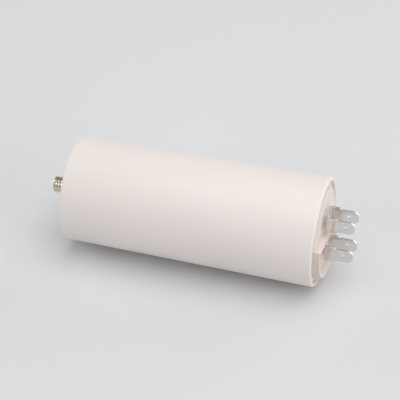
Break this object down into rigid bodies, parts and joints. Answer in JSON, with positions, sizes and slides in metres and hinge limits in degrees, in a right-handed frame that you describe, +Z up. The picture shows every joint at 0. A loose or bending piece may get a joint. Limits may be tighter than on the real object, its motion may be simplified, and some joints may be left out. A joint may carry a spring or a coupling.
{
  "type": "motor run capacitor",
  "caption": "Cylindrical motor run capacitor with a plain moulded case, a threaded mounting stud in its closed base and double push-on terminals on a recessed lid.",
  "frame": {"origin": "on the floor below the middle of the whole length, stud tip to tab tips, with the case lying on its side", "axes": "+X along the case axis from the stud towards the terminals, +Z up, +Y across the case away from the viewer of the picture"},
  "size_m": [0.142, 0.05, 0.05],
  "materials": {
    "case_plastic": "smooth moulded, warm white, satin",
    "lid_plastic": "smooth moulded, warm white, semi-gloss",
    "stud_metal": "steel, yellow zinc plated, rolled thread",
    "terminal_metal": "tinned brass sheet, bright",
    "rivet_metal": "tinned, set",
    "film": "metallised polypropylene film, wound",
    "core_plastic": "extruded tube",
    "spray_metal": "flame-sprayed zinc, grainy",
    "lead_metal": "tinned copper strip",
    "resin": "cast potting resin"
  },
  "bodies": {
    "root": {"case": "case_plastic", "mounting_stud": "stud_metal", "lid": "lid_plastic", "terminal_upper": "terminal_metal", "terminal_lower": "terminal_metal", "terminal_rivets": "rivet_metal", "winding": "film", "winding_core": "core_plastic", "end_spray_lid": "spray_metal", "end_spray_base": "spray_metal", "lead_lid": "lead_metal", "lead_base": "lead_metal", "potting": "resin"}
  },
  "joints": []
}
